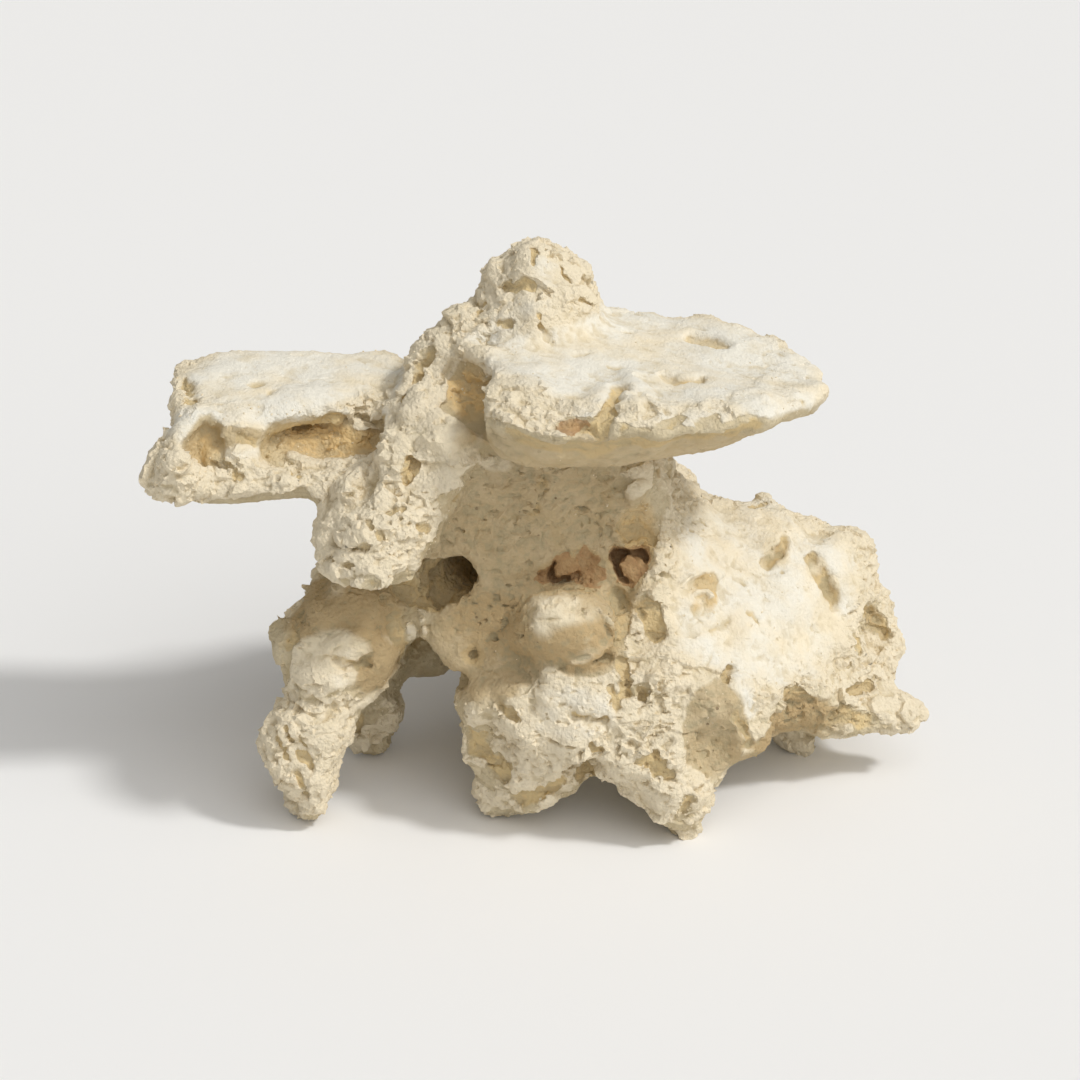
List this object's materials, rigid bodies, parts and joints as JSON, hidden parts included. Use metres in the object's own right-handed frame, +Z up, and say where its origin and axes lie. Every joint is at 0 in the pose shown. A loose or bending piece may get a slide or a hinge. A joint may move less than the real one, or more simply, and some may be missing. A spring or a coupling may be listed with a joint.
{
  "type": "dry reef rock",
  "caption": "Pale porous reef limestone rock with a thick overhanging shelf, a split side shelf, a sloping slab and short feet to stand on.",
  "frame": {"origin": "on the ground, below the middle of the rock's bounding box", "axes": "+X to the right along the rock's longest way, from the split shelf to the tongue; +Y to the back; +Z up"},
  "size_m": [0.3542, 0.1838, 0.2439],
  "materials": {
    "limestone": "matte, porous and chalky"
  },
  "bodies": {
    "root": {"reef_rock": "limestone"}
  },
  "joints": []
}
